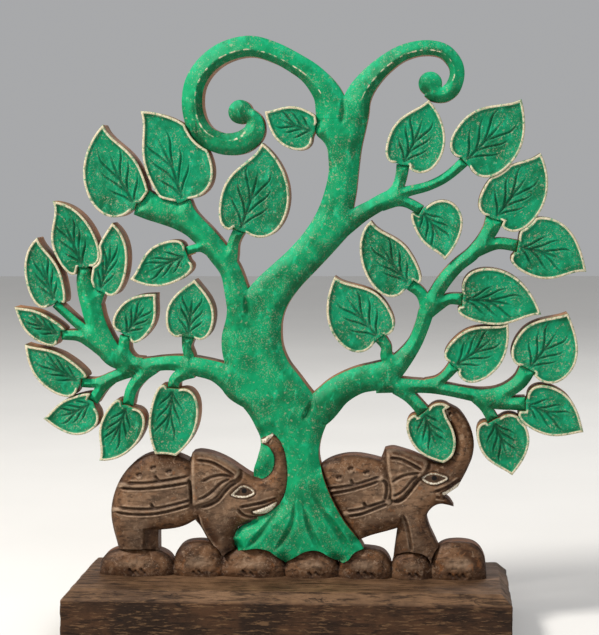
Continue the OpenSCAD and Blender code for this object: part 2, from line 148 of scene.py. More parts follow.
def segments(loops):
    a = np.concatenate(loops)
    b = np.concatenate([np.roll(loop, -1, 0) for loop in loops])
    return a, b


CHUNK = 800


def close_by(p, a, b, reach=26):
    """Those segments that pass within reach of the points' box."""
    lo, hi = p.min(0) - reach, p.max(0) + reach
    keep = ((np.maximum(a, b) > lo) & (np.minimum(a, b) < hi)).all(1)
    return a[keep], b[keep]


def edge_distance(p, a, b):
    """Distance from each point to the nearest segment, and the unit way to it."""
    ab = b - a
    sq = np.maximum((ab**2).sum(1), 1e-12)
    dist, way = np.empty(len(p)), np.empty((len(p), 2))
    for i in range(0, len(p), CHUNK):
        x, z = p[i:i + CHUNK, 0][:, None], p[i:i + CHUNK, 1][:, None]
        t = np.clip(((x - a[:, 0]) * ab[:, 0] + (z - a[:, 1]) * ab[:, 1]) / sq, 0, 1)
        gap_x = t * ab[:, 0] + (a[:, 0] - x)
        gap_z = t * ab[:, 1] + (a[:, 1] - z)
        d2 = gap_x * gap_x + gap_z * gap_z
        k = d2.argmin(1)
        rows = np.arange(len(k))
        dist[i:i + CHUNK] = np.sqrt(d2[rows, k])
        way[i:i + CHUNK] = np.stack([gap_x[rows, k], gap_z[rows, k]], 1)
    return dist, way / np.maximum(dist, 1e-9)[:, None]


def inside(p, a, b):
    """Whether each point is inside the closed outlines made of segments a to b."""
    hit = np.zeros(len(p), bool)
    for i in range(0, len(p), CHUNK):
        x, z = p[i:i + CHUNK, 0][:, None], p[i:i + CHUNK, 1][:, None]
        spans = (a[:, 1] > z) != (b[:, 1] > z)
        rise = np.where(b[:, 1] == a[:, 1], 1, b[:, 1] - a[:, 1])
        cross = a[:, 0] + (z - a[:, 1]) / rise * (b[:, 0] - a[:, 0])
        hit[i:i + CHUNK] = (spans & (x < cross)).sum(1) % 2 == 1
    return hit


def signed_distance(p, loops):
    """Distance to the outline, positive inside."""
    a, b = segments(loops)
    dist, _ = edge_distance(p, a, b)
    return np.where(inside(p, a, b), dist, -dist)


# ---- paint masks ------------------------------------------------------------------------------

# A carved piece's paint: pale lime or cream; dark, for the grooves' dark stain and for painted
# shade; bare sawn wall; black; and rubbed paint with painted highlights.
PALE, DARK, BARE, BLACK, RUB_AND_HIGHLIGHT = range(5)
MASKS = 5


def no_paint(count):
    return np.zeros((count, MASKS))


def lay(masks, column, values):
    """Raises a mask to the values where they are higher."""
    masks[:, column] = np.maximum(masks[:, column], values)


# ---- carving strokes --------------------------------------------------------------------------


def step(lo, hi, x):
    t = np.clip((x - lo) / (hi - lo), 0, 1)
    return t * t * (3 - 2 * t)


def curve(points, n=8):
    """A smooth line through given points."""
    p = np.array(points, float)
    ends = np.vstack([2 * p[0] - p[1], p, 2 * p[-1] - p[-2]])
    out = []
    for i in range(1, len(ends) - 2):
        a, b, c, d = ends[i - 1:i + 3]
        for t in np.arange(n) / n:
            out.append(0.5 * (2 * b + (c - a) * t + (2 * a - 5 * b + 4 * c - d) * t**2
                              + (3 * b - a - 3 * c + d) * t**3))
    out.append(p[-1])
    return np.array(out)


def patch(p, points, smooth=True):
    """Distance to the closed line through given points, positive inside."""
    line = np.array(points, float)
    line = np.vstack([line, line[:1]])
    if smooth:
        line = curve(line)
    a, b = line[:-1], line[1:]
    return np.where(inside(p, a, b), 1, -1) * edge_distance(p, a, b)[0]


def stroke(p, points, width, taper):
    """How strongly a gouge stroke along the points cuts each point: 1 at its bottom, 0 past
    width from it. The stroke thins out over the given shares of its length at its two ends."""
    line = curve(points)
    a, b = line[:-1], line[1:]
    run = np.concatenate([[0], np.cumsum(np.hypot(*(b - a).T))])
    total = run[-1]
    lo, hi = line.min(0) - width, line.max(0) + width
    near = np.where(((p > lo) & (p < hi)).all(1))[0]
    cut = np.zeros(len(p))
    if not len(near):
        return cut
    q = p[near]
    ab = b - a
    sq = np.maximum((ab**2).sum(1), 1e-12)
    t = np.clip(((q[:, None] - a) * ab).sum(2) / sq, 0, 1)
    gap = a + t[..., None] * ab - q[:, None]
    d2 = (gap**2).sum(2)
    k = d2.argmin(1)
    rows = np.arange(len(q))
    along = (run[k] + t[rows, k] * np.sqrt(sq[k])) / total
    fade = np.ones(len(q))
    if taper[0]:
        fade *= step(0, taper[0], along)
    if taper[1]:
        fade *= 1 - step(1 - taper[1], 1, along)
    reach = width * (0.35 + 0.65 * fade)
    cut[near] = np.clip(1 - np.sqrt(d2[rows, k]) / reach, 0, 1) * fade
    return cut


def ripple(p, size, seed, waves=9):
    """Smooth hand-made unevenness, about -1 to 1, with bumps of the given size."""
    rng = np.random.default_rng(seed)
    total = np.zeros(len(p))
    for _ in range(waves):
        turn, phase = rng.uniform(0, 2 * math.pi, 2)
        k = 2 * math.pi / (size * rng.uniform(0.7, 1.6))
        total += np.sin(k * (p[:, 0] * math.cos(turn) + p[:, 1] * math.sin(turn)) + phase)
    return total / math.sqrt(waves)


# ---- boards -----------------------------------------------------------------------------------

EDGE_SPACING = 0.9
RINGS = (0.3, 0.75, 1.25, 1.8, 2.4)
GRID = 0.62
ROW = 0.87
WALL_LEVELS = (0.25, 0.9, 3.0, 6.5, 10.5, 14.5)
SAW_SIZE, SAW_DEPTH = 9, 0.05
FADE_TO_BARE = 1.4
LEAST_DROP = 0.02


def triangulate(loops, extra):
    """Constrained triangles over the loops' inside; the loops' points come first."""
    points = np.concatenate(loops + [extra]) if len(extra) else np.concatenate(loops)
    edges, at = [], 0
    for loop in loops:
        n = len(loop)
        edges += [(at + i, at + (i + 1) % n) for i in range(n)]
        at += n
    verts, _, faces, origin, _, _ = delaunay_2d_cdt(
        [Vector(p) for p in points], edges, [], 0, 1e-6)
    out = np.array([tuple(v) for v in verts])
    source = np.array([o[0] if len(o) else -1 for o in origin])
    tri = np.array([tuple(f) for f in faces])
    middle = out[tri].mean(1)
    a, b = segments(loops)
    tri = tri[inside(middle, a, b)]
    if len(out) != len(points) or (source < 0).any():
        raise RuntimeError("the outline crosses itself")
    tri = source[tri]
    return points, tri


class Board:
    """The points of one relief's face in panel positions, with the outline's points first, and
    the triangles of its face and back."""

    def __init__(self, loops, grid=GRID):
        self.loops = [smooth_loop(loop, EDGE_SPACING) for loop in loops]
        edge = np.concatenate(self.loops)
        inward = []
        for loop in self.loops:
            way = np.roll(loop, -1, 0) - np.roll(loop, 1, 0)
            way /= np.hypot(*way.T)[:, None]
            inward.append(np.stack([-way[:, 1], way[:, 0]], 1))
        inward = np.concatenate(inward)
        rings = []
        for r in RINGS:
            q = edge + inward * r
            rings.append(q[signed_distance(q, self.loops) > 0.96 * r])
        lo, hi = edge.min(0), edge.max(0)
        nx, nz = np.ceil((hi - lo) / (grid, grid * ROW)).astype(int) + 1
        i, k = np.meshgrid(np.arange(nx), np.arange(nz))
        q = np.stack([lo[0] + (i + 0.5 * (k % 2)) * grid, lo[1] + k * grid * ROW], -1)
        q = q.reshape(-1, 2)
        q = q[inside(q, *segments(self.loops))]
        q = q[signed_distance(q, self.loops) > RINGS[-1] + 0.4]
        self.points, self.tri = triangulate(self.loops, np.concatenate(rings + [q]))
        self.n_edge = len(edge)
        _, self.back_tri = triangulate(self.loops, np.empty((0, 2)))


def build(name, board, front, back, drop, masks, node, material):
    """Makes the closed mesh of a board. drop is how far each front point lies behind the front
    plane, and masks is its paint."""
    n, ne = len(board.points), board.n_edge
    edge = board.points[:ne]
    rng = np.random.default_rng(sum(map(ord, name)))
    verts = [np.column_stack([board.points[:, 0], front + drop, board.points[:, 1]])]
    paint = [masks]
    edge_y = front + drop[:ne]
    faces = [tuple(t) for t in board.tri]
    ring = list(range(ne))
    at = n
    saw = ripple(edge, SAW_SIZE, 3) * SAW_DEPTH
    for level in [lv for lv in WALL_LEVELS if lv < back - front - 1] + [back - front]:
        y = np.maximum(front + level, edge_y + min(level, WALL_LEVELS[0]))
        if level == back - front:
            y = np.full(ne, float(back))
        shake = saw * rng.uniform(-1, 1)
        verts.append(np.column_stack([edge[:, 0] + shake, y, edge[:, 1] + shake]))
        wall = no_paint(ne)
        wall[:, BARE] = min(1, level / FADE_TO_BARE)
        paint.append(wall)
        start = 0
        for loop in board.loops:
            m = len(loop)
            for i in range(m):
                j = (i + 1) % m
                a, b = ring[start + i], ring[start + j]
                c, d = at + start + j, at + start + i
                faces.append((a, d, c, b))
            start += m
        ring = list(range(at, at + ne))
        at += ne
    faces += [(ring[t[0]], ring[t[2]], ring[t[1]]) for t in board.back_tri]
    co = np.concatenate(verts)
    co[:, 2] += PLINTH_TOP
    make_piece(name, co * MM, faces, np.concatenate(paint), node, material, ne)


def make_piece(name, co, faces, paint, node, material, crisp=0):
    """Makes a piece that stands for a node. The outline through its first `crisp` points stays
    a crisp edge."""
    mesh = bpy.data.meshes.new(name)
    mesh.from_pydata(co.tolist(), [], faces)
    mesh.validate()
    layer = mesh.attributes.new("paint", "FLOAT_COLOR", "POINT")
    paint = np.clip(paint, 0, 1).astype(np.float32)
    layer.data.foreach_set("color", paint[:, :4].ravel())
    layer = mesh.attributes.new("wear_and_highlight", "FLOAT", "POINT")
    layer.data.foreach_set("value", paint[:, RUB_AND_HIGHLIGHT].copy())
    ends = np.empty(len(mesh.edges) * 2, np.int32)
    mesh.edges.foreach_get("vertices", ends)
    ends = ends.reshape(-1, 2)
    sharp = (ends < crisp).all(1) & (np.abs(ends[:, 0] - ends[:, 1]) == 1)
    layer = mesh.attributes.new("sharp_edge", "BOOLEAN", "EDGE")
    layer.data.foreach_set("value", sharp)
    mesh.polygons.foreach_set("use_smooth", [True] * len(mesh.polygons))
    mesh.materials.append(material)
    piece = bpy.data.objects.new(name, mesh)
    bpy.context.scene.collection.objects.link(piece)
    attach(piece, "root")
    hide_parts(node)


def soft_min(a, cap, k=1.6):
    """The smaller of a and cap, with a rounded changeover."""
    return -np.log(np.exp(-k * a) + math.exp(-k * cap)) / k


def rounded(d, radius, height):
    """A quarter-round edge: 0 at the outline, height from radius inwards."""
    t = np.clip(d / radius, 0, 1)
    return height * np.sqrt(np.clip(1 - (1 - t)**2, 0, 1))


# ---- leaves -----------------------------------------------------------------------------------

RIM_WIDTH = 1.55
RIM_RISE = 1.1
LEAF_DISH = 0.9
VEIN_DEPTH = 1.15
VEIN_LIP = 0.4
RIB_CUT, RIB_LIP = 1.4, 2.9
SIDE_CUT, SIDE_LIP = 1.1, 2.4
# where each side vein leaves the rib and where it ends, as shares of the leaf's length
SIDE_VEINS = ((0.07, 0.40), (0.20, 0.62), (0.36, 0.82))


def loose_parts(node):
    """The separate solids of a node, as arrays of points."""
    co, faces = node_points(node)
    keys = {}
    same = [keys.setdefault(tuple(k), i) for i, k in enumerate(np.round(co, 3))]
    root = list(range(len(co)))

    def top(i):
        while root[i] != i:
            root[i] = root[root[i]]
            i = root[i]
        return i

    for f in faces:
        for v in f[1:]:
            root[top(same[v])] = top(same[f[0]])
    groups = {}
    for i in range(len(co)):
        groups.setdefault(top(same[i]), []).append(co[i])
    return [np.array(g) for g in groups.values()]


def leaf_stems():
    """Where each leaf pin crosses the leaf's edge, and the pin's direction."""
    stems = []
    for part in loose_parts("leaf_pins"):
        flat = part[:, [0, 2]]
        middle = (flat.min(0) + flat.max(0)) / 2
        _, vectors = np.linalg.eigh(np.cov((flat - middle).T))
        stems.append((middle, vectors[:, 1]))
    return stems


STEMS = leaf_stems()


def leaf_frame(loops):
    """A leaf's stem point, its direction and its length."""
    a, b = segments(loops)
    best = None
    for middle, way in STEMS:
        for sign in (1, -1):
            ends = np.array([middle + 4 * sign * way, middle - 4 * sign * way, middle])
            within = inside(ends, a, b)
            gap = edge_distance(ends[2:], a, b)[0][0]
            if within[0] and not within[1] and (best is None or gap < best[0]):
                best = (gap, middle, sign * way)
    _, stem, way = best
    outline = np.concatenate(loops)
    tip = outline[np.hypot(*(outline - stem).T).argmax()]
    length = np.hypot(*(tip - stem))
    return stem, (tip - stem) / length, length


def carve_leaf(board, seed):
    """A dished face inside a raised rim, with a midrib and three veins a side."""
    p = board.points
    stem, way, length = leaf_frame(board.loops)
    side = np.array([-way[1], way[0]])
    a, b = segments(board.loops)
    d = np.maximum(edge_distance(p, a, b)[0], 0)
    rng = np.random.default_rng(seed)

    spans, shares = [], np.linspace(0.08, 0.9, 12)
    outline = np.concatenate(board.loops)
    along, across = (outline - stem) @ way / length, (outline - stem) @ side
    for s in shares:
        near = across[np.abs(along - s) < 0.045]
        spans.append((near.min(), near.max()) if len(near) > 1 else (-1, 1))
    lo, hi = np.array(spans).T
    bend = 0.5 * np.interp(shares, shares, (lo + hi) / 2) * np.sin(math.pi * shares)

    def at(s, offset):
        """A point at share s of the length and offset, a share of the half width there."""
        half = np.interp(s, shares, (hi - lo) / 2)
        return stem + way * s * length + side * (np.interp(s, shares, bend) + offset * half)

    rib_end = rng.uniform(0.74, 0.84)
    rib = [at(s, 0) for s in np.linspace(0.02, rib_end, 6)]
    cut = stroke(p, rib, RIB_CUT, taper=(0, 0.5))
    lip = stroke(p, rib, RIB_LIP, taper=(0, 0.4))
    for hand in (1, -1):
        for start, reach in SIDE_VEINS:
            start += rng.uniform(-0.015, 0.015)
            reach += rng.uniform(-0.03, 0.03)
            wide = rng.uniform(0.6, 0.7)
            line = [at(start, 0.02 * hand), at(start + 0.3 * (reach - start), 0.3 * wide * hand),
                    at(start + 0.62 * (reach - start), 0.7 * wide * hand), at(reach, wide * hand)]
            cut = np.maximum(cut, stroke(p, line, SIDE_CUT, taper=(0, 0.55)))
            lip = np.maximum(lip, stroke(p, line, SIDE_LIP, taper=(0.1, 0.4)))
    cut *= step(RIM_WIDTH - 0.2, RIM_WIDTH + 1.3, d)
    lip = np.clip(lip - 1.6 * cut, 0, 1) * step(RIM_WIDTH + 0.5, RIM_WIDTH + 2.5, d)

    gap = np.hypot(*(p - stem).T)
    rim = step(3.0, 6.5, gap)
    crest = np.clip(d / 0.55, 0, 1) * (1 - step(RIM_WIDTH * 0.75, RIM_WIDTH * 1.5, d))
    dish = RIM_RISE + LEAF_DISH * step(RIM_WIDTH, 10, d)
    drop = dish - RIM_RISE * rim * (1 - step(RIM_WIDTH * 0.8, RIM_WIDTH * 1.75, d))
    drop += 0.55 * (1 - np.clip(d / 0.8, 0, 1))**2
    drop += 0.10 * ripple(p, 7, seed) + 0.04 * ripple(p, 2.6, seed + 1)
    drop += VEIN_DEPTH * cut - VEIN_LIP * step(0.05, 0.6, lip)
    masks = no_paint(len(p))
    # painted highlight on the vein lips; the rippled patches after it are rubbed paint
    lay(masks, RUB_AND_HIGHLIGHT, 0.55 * step(0.15, 0.6, lip))
    lay(masks, RUB_AND_HIGHLIGHT, 0.3 * step(-0.4, 1.2, ripple(p, 7, seed)))
    lay(masks, PALE, rim * (1 - step(RIM_WIDTH * 0.8, RIM_WIDTH * 1.25, d)) * (0.35 + 0.65 * crest))
    lay(masks, DARK, cut)
    lay(masks, DARK, 0.55 * step(RIM_WIDTH, RIM_WIDTH * 1.6, d)
        * (1 - step(RIM_WIDTH * 1.6, RIM_WIDTH * 2.6, d)) * rim)
    return np.maximum(drop, LEAST_DROP), masks


# ---- limbs ------------------------------------------------------------------------------------

BEVEL_SLOPE = 0.62
BEVEL_DEPTH = 4.3
INNER_SLOPE = 0.88
OUTER_SLOPE = 0.42
TRUNK_TOP = 316
SCROLL_EYES = {"scroll_left": (-28, 331), "scroll_right": (86, 340)}
# the trunk's face sinks towards the elephant that laps it, over this reach
GROUND_DEPTH, GROUND_REACH = 4.0, 9
LAP = 7

CREASE_CUT, CREASE_LIP = 3.0, 6.5
CREASE_DEPTH, CREASE_LIP_RISE = 2.2, 0.5
CREASES = (
    ((13, 70), (17, 58), (24, 47), (33, 34), (45, 15)),
    ((9, 62), (11, 48), (14, 36), (18, 27), (23, 17)),
    ((4, 62), (4, 50), (2, 38), (-3, 28), (-11, 17)),
    ((-5, 54), (-10, 43), (-16, 35), (-23, 27), (-31, 19)),
    ((-28, 200), (-28.5, 192), (-27, 181)),
    ((38, 334), (38.5, 324), (37, 311)),
    ((18, 128), (14.5, 119), (9.5, 109)),
)


def face_depth(node):
    """The depth where a node's whole outline shows: the lap cuts the trunk's front short."""
    return BACK if node == "trunk" else FRONT


def outer_segments(nodes, cover):
    """The outline segments of the nodes' union that no board in cover hides."""
    loops = {n: [smooth_loop(q, EDGE_SPACING) for q in cap_loops(n, face_depth(n))]
             for n in nodes + cover}
    starts, ends = [], []
    for n in nodes:
        a, b = segments(loops[n])
        way = (b - a) / np.maximum(np.hypot(*(b - a).T), 1e-9)[:, None]
        probe = (a + b) / 2 + 0.5 * np.stack([way[:, 1], -way[:, 0]], 1)
        hidden = np.zeros(len(a), bool)
        for m in nodes + cover:
            if m != n:
                hidden |= inside(probe, *segments(loops[m]))
        starts.append(a[~hidden])
        ends.append(b[~hidden])
    return np.concatenate(starts), np.concatenate(ends)


def carve_limb(board, name, seed, outer, elephant):
    """Bevelled from the tree's outer outline inwards. A scroll is bevelled less on its outer
    side, so that its ridge runs nearer its inner side."""
    p = board.points
    outer = close_by(p, *outer)
    d, way = edge_distance(p, *outer)
    height = soft_min(BEVEL_SLOPE * d, BEVEL_DEPTH, 2.2)
    if name in SCROLL_EYES:
        a, b = outer
        way_out = np.stack([(b - a)[:, 1], -(b - a)[:, 0]], 1)
        inner = (way_out * (SCROLL_EYES[name] - (a + b) / 2)).sum(1) > 0
        d_in = edge_distance(p, a[inner], b[inner])[0]
        d_out = edge_distance(p, a[~inner], b[~inner])[0]
        own = step(TRUNK_TOP, TRUNK_TOP + 20, p[:, 1])
        own = np.where(np.abs(p[:, 0] - SCROLL_EYES[name][0]) < 34, 1, own)
        height += own * (soft_min(np.minimum(INNER_SLOPE * d_in, OUTER_SLOPE * d_out),
                                  BEVEL_DEPTH, 5) - height)
    drop = BEVEL_DEPTH - height + 0.35 * (1 - np.clip(d / 0.7, 0, 1))**2
    ridge = np.zeros(len(p))
    if name in SCROLL_EYES:
        ridge = 1 - step(0.25, 0.9, np.abs(INNER_SLOPE * d_in - OUTER_SLOPE * d_out))
        ridge *= step(1.5, 2.6, height) * own * step(-0.9, 0.9, ripple(p, 5, seed + 2))
    cut, lip = np.zeros(len(p)), np.zeros(len(p))
    for line in CREASES:
        cut = np.maximum(cut, stroke(p, line, CREASE_CUT, taper=(0.6, 0.2)))
        lip = np.maximum(lip, stroke(p, line, CREASE_LIP, taper=(0.5, 0.2)))
    if name == "trunk":
        near = edge_distance(p, *segments(elephant))[0]
        behind = inside(p, *segments(elephant))
        drop += GROUND_DEPTH * (1 - step(0, GROUND_REACH, np.where(behind, 0, near)))
    drop += 0.16 * ripple(p, 14, seed) + 0.07 * ripple(p, 4.5, seed + 1)
    lip = np.clip(lip - 1.7 * cut, 0, 1)
    drop += CREASE_DEPTH * cut - CREASE_LIP_RISE * step(0.05, 0.6, lip)
    if name == "trunk":
        drop = np.where(behind, np.maximum(drop, (LAP + 0.3) * step(0.3, 1.3, near)), drop)
    masks = no_paint(len(p))
    lay(masks, PALE, 0.8 * ridge)
    # painted highlight on the upper bevel near the outline and on the crease lips; the ridge's line
    # is worn paint
    highlight_bevel = step(0.1, 0.7, way[:, 1]) * (1 - step(1.5, 6, d))
    for values in (0.75 * highlight_bevel, 0.5 * step(0.1, 0.7, lip), 0.6 * ridge):
        lay(masks, RUB_AND_HIGHLIGHT, values)
    # painted shade on the lower bevel near the outline
    shade_bevel = step(0.1, 0.7, -way[:, 1]) * (1 - step(3, 6, d))
    for values in (0.6 * cut, 0.75 * shade_bevel):
        lay(masks, DARK, values)
    if name in SCROLL_EYES:
        shade = step(0.1, 0.6, OUTER_SLOPE * d_out - INNER_SLOPE * d_in)
        lay(masks, DARK, 0.5 * own * shade)
    return np.maximum(drop, LEAST_DROP), masks


# ---- elephants --------------------------------------------------------------------------------

# Lines in panel coordinates. hooves: each foot's x, z, x, and the height of its last toe cut.
LEFT = dict(
    grooves=(
        ((-115, 65), (-104, 65.3), (-94, 66), (-82, 68), (-74, 69.5), (-68, 71)),
        ((-120, 61.6), (-108, 61.3), (-97, 61.8), (-85, 63.3), (-75, 65), (-67, 66.8)),
        ((-120, 48), (-109, 47.2), (-95, 47.3), (-80, 50.3), (-66, 54.4)),
        ((-124.5, 45), (-108, 43.4), (-94, 43.9), (-80, 46.9), (-66, 51.2)),
        ((-70, 69), (-68.5, 62), (-68, 50)),
        ((-93.4, 70.8), (-91.5, 68.5), (-89.8, 66)), ((-96.4, 51.2), (-95, 49.2), (-93.8, 47.4)),
        ((-64, 44), (-62, 34), (-57, 25), (-51, 17), (-46, 9)),
        ((-35, 49), (-22, 51.5), (-13, 54), (-7.5, 55.8)),
        ((-36, 48), (-32, 43.5), (-27, 42), (-19.5, 41.6)),
        ((-61, 66.5), (-54, 70), (-46, 71.6), (-37, 69.8)),
        ((-62, 48.5), (-55, 50.4), (-49, 54), (-44.5, 59.5), (-40, 64), (-35.5, 66)),
        ((-64, 53.8), (-58.5, 56.2), (-52.5, 60.6), (-47, 66), (-40, 69.4)),
        ((-65.5, 82), (-54, 80.4), (-44.5, 75.6), (-36.5, 70)),
        ((-15, 93.5), (-12.5, 97)),
    ),
    ear=((-67, 49), (-61, 51), (-55, 53), (-50, 57), (-46, 62), (-41.5, 66.5), (-36, 69),
         (-34, 75.6), (-42, 81), (-52, 86), (-62, 88), (-68, 87)),
    bands=(((-120, 63.4), (-97, 63.9), (-67, 68.8)), ((-124.5, 46.2), (-96, 45.5), (-66, 52.8))),
    dots=((-104, 71), (-94, 76), (-83, 73.5)),
    eye=((-39.4, 57.7), (-36, 60.9), (-32.5, 63.5), (-28.8, 63), (-24.2, 59.4), (-27.8, 57),
         (-31.5, 56.2), (-36, 56.6)),
    pupil=(-31, 60.6),
    tusk=((-25.5, 46), (-16, 49.5), (-8.6, 52.8), (-11, 47.8), (-16, 44.6), (-24, 44.2)),
    far_leg=((-102.5, 7), (-102, 20), (-101.5, 33), (-88, 33), (-88, 7)),
    tip=((-20, 94.3), (-15.5, 96), (-11.5, 101)),
    hooves=((-117, 12, -104, 12), (-55, 10, -41, 10)),
)
RIGHT = dict(
    grooves=(
        ((24, 61.4), (30.6, 62.8), (44.2, 65.2), (56.4, 69), (64.6, 71.8)),
        ((24, 57.6), (31, 59.4), (44.2, 62.4), (56.4, 66.2), (63.5, 69.2)),
        ((39, 46.6), (48, 48.2), (58, 51.3), (68, 54.8)),
        ((39.8, 43.2), (50, 45.4), (60, 49.2), (69, 52.8)),
        ((63.8, 69.3), (66.8, 67), (67.4, 61.4), (66.2, 55)),
        ((42.6, 69.4), (43.8, 67.4), (45, 65.4)), ((51.4, 53.4), (52.6, 51.6), (53.7, 49.8)),
        ((78.4, 45.6), (81.2, 38.3), (83.2, 28.8), (84.8, 18)),
        ((99, 60.6), (105, 62.6), (111, 65.4), (118, 70.4)),
        ((101, 57.4), (104, 56.6), (107.5, 56)),
        ((70.4, 67), (76.2, 71), (83, 73.2), (90.6, 73.8)),
        ((69.6, 53.6), (77.2, 55), (82.8, 60.6), (88.2, 67.4), (93.5, 73)),
        ((71, 57.6), (76.4, 60), (81, 64.2), (85, 69.2), (89.6, 72.6)),
        ((69, 84.6), (77.2, 83.4), (85.3, 79.6), (92.4, 75.4)),
        ((107, 112), (111.5, 116)),
    ),
    ear=((66.6, 90), (67.4, 78), (69, 70), (70.6, 62), (71, 55.2), (77, 57), (81.8, 62),
         (86.8, 68.6), (93, 74), (96, 82.4), (89, 86), (80, 89.4), (72, 91.5)),
    bands=(((25, 59.8), (45, 64), (64, 70.4)), ((39, 44.8), (55, 48.6), (69, 53.8))),
    dots=((43, 76.4), (54, 74), (35, 70.4)),
    eye=((92, 70.1), (95.2, 72.3), (99.4, 73.6), (104, 72.5), (108.6, 70.5), (104.5, 67.8),
         (99.5, 66.6), (95, 67.7)),
    pupil=(100, 70.6),
    tusk=((105, 59.8), (110.5, 62.8), (117.4, 67.6), (117.4, 64), (111.5, 60), (106.9, 58)),
    far_leg=((77.6, 44.4), (81, 38.3), (83, 28.8), (84.6, 20.6), (85.6, 6), (68, 6), (74, 33.4)),
    tip=((107.5, 116.5), (108.2, 113.5), (110, 110.5)),
    hooves=((73, 12, 88, 12), (90, 12, 104, 12)),
)
BAND_HALF = 1.6
SADDLE_SINK = 0.95
BODY_RADIUS = 15
BODY_DEPTH = 5.6
EAR_STEP = 2.1
GROOVE_CUT, GROOVE_LIP = 1.5, 3.2
GROOVE_DEPTH, GROOVE_LIP_RISE = 1.7, 0.6
PUPIL_RADIUS = 3.2
FAR_LEG_SINK, FAR_LEG_ROUND, FAR_LEG_RISE = 4.2, 7, 2.2
TOES = 3


def carve_elephant(board, design, seed, outer, most):
    """A rounded body with a flat raised ear, a banded saddle, an eye and a tusk. No point is
    cut deeper than most."""
    p = board.points
    d = edge_distance(p, *outer)[0]
    slope = BODY_DEPTH - rounded(d, BODY_RADIUS, BODY_DEPTH)
    masks = no_paint(len(p))

    ear = patch(p, design["ear"])
    beside = 1 - step(-0.2, 0.9, ear)
    drop = slope * (1 - 0.62 * step(-0.5, 3, ear))
    drop += EAR_STEP * step(-4.5, 0, ear) * beside + 0.3 * step(1, 9, ear)

    raised = np.zeros(len(p))
    for line in design["bands"]:
        path = curve(line)
        gap = edge_distance(p, path[:-1], path[1:])[0]
        raised = np.maximum(raised, 1 - step(BAND_HALF * 0.8, BAND_HALF * 1.25, gap))
    drop += SADDLE_SINK * (1 - raised) * (ear < 0)

    cut, lip = np.zeros(len(p)), np.zeros(len(p))
    for line in design["grooves"]:
        cut = np.maximum(cut, stroke(p, line, GROOVE_CUT, taper=(0.1, 0.1)))
        lip = np.maximum(lip, stroke(p, line, GROOVE_LIP, taper=(0.1, 0.1)))
    for x, z in design["dots"]:
        gouge = np.array([(x - 2.1, z - 0.9), (x - 0.6, z + 0.5), (x + 1.9, z + 0.3)])
        cut = np.maximum(cut, stroke(p, gouge, 1.7, taper=(0.1, 0.1)))
        lip = np.maximum(lip, stroke(p, gouge - (0, 1.9), 2.2, taper=(0.2, 0.2)))
    for x0, z0, x1, z1 in design["hooves"]:
        for k in range(TOES):
            x = x0 + (x1 - x0) * (k + 0.5) / TOES
            arch = [(x - 1.9, z0), (x - 1.2, z0 + 3.6), (x + 1.2, z0 + 3.6), (x + 1.9, z1)]
            cut = np.maximum(cut, 0.6 * stroke(p, arch, 0.9, taper=(0, 0)))

    eye = patch(p, design["eye"])
    eye_gap, eye_in = np.abs(eye), eye > 0
    pupil = np.hypot(*(p - design["pupil"]).T)
    lid = step(-0.5, 1.5, p[:, 1] - design["pupil"][1])
    white = (1 - step(0.3, 0.7, eye_gap)) * (1 - 0.35 * lid)
    ball = rounded(np.clip(PUPIL_RADIUS - pupil, 0, PUPIL_RADIUS), PUPIL_RADIUS, 0.8)
    drop += np.where(eye_in, 0.9 - ball, 0)
    drop -= 0.45 * white
    cut = np.maximum(cut, 0.7 * step(0.7, 1.1, eye_gap) * (1 - step(1.1, 2.2, eye_gap)) * ~eye_in)

    tusk = patch(p, design["tusk"])
    drop -= 0.9 * step(-0.2, 1.6, tusk)
    cut *= 1 - step(-0.3, 0.5, tusk)
    cut = np.maximum(cut, 0.75 * step(-1.4, -0.5, tusk) * (1 - step(-0.5, 0.1, tusk)))

    leg = patch(p, design["far_leg"], smooth=False)
    on_leg = step(-0.5, 1.2, leg)
    drop += on_leg * (FAR_LEG_SINK - rounded(np.clip(leg, 0, FAR_LEG_ROUND), FAR_LEG_ROUND,
                                             FAR_LEG_RISE))

    lip = np.clip(lip - 1.7 * cut, 0, 1)
    drop += 0.16 * ripple(p, 9, seed) + 0.07 * ripple(p, 3.2, seed + 1)
    drop += GROOVE_DEPTH * cut - GROOVE_LIP_RISE * step(0.05, 0.55, lip)

    rim = curve(design["tip"])
    rim_gap = edge_distance(p, rim[:-1], rim[1:])[0]
    for values in (white, step(-0.1, 0.7, tusk), 1 - step(0.9, 1.9, rim_gap)):
        lay(masks, PALE, values)
    # painted shade along the far leg's edges, below the ear's edge, towards the bottom and along
    # the outline; the grooves carry dark stain, the eye its dark paint
    for values in (0.55 * on_leg * (1 - step(1, 5, leg)), cut,
                   0.6 * step(-3.5, -0.2, ear) * (1 - step(-0.2, 0.4, ear)),
                   np.where(eye_in & (eye_gap > 0.7), 0.75, 0),
                   0.46 * (1 - step(26, 44, p[:, 1])), 0.7 * (1 - step(0.3, 3.2, d))):
        lay(masks, DARK, values)
    lay(masks, BLACK, np.where(eye_in, 1 - step(1.5, 2.1, pupil), 0))
    # painted highlight on the groove lips, the middle of the body, the saddle bands and the ear's
    # edge
    uncut = 1 - step(0.1, 0.5, cut)
    for values in (0.9 * step(0.1, 0.5, lip), 0.3 * step(4, 12, d),
                   0.95 * raised * (ear < 0) * uncut,
                   0.85 * step(0, 1, ear) * (1 - step(1.6, 3.4, ear)) * uncut):
        lay(masks, RUB_AND_HIGHLIGHT, values)
    return np.clip(drop, LEAST_DROP, most), masks


# ---- boulders ---------------------------------------------------------------------------------

BOULDERS = (
    (-134, -81, 18.5), (-82, -45, 23.5), (-50, -3, 20), (-4, 34, 20), (33, 71, 20),
    (70, 99, 18.5), (97, 136, 25.5),
)
BOULDER_DEPTH = 8
BOULDER_BLUNTNESS, DOME_BLUNTNESS = 2.6, 2.3
CHIP_LENGTH = 5.6
CHIP_GAP = 4.3
CHIP_CUT, CHIP_DEPTH = 1.5, 1.5
CHIP_WAY = np.array([-0.7, 0.71])


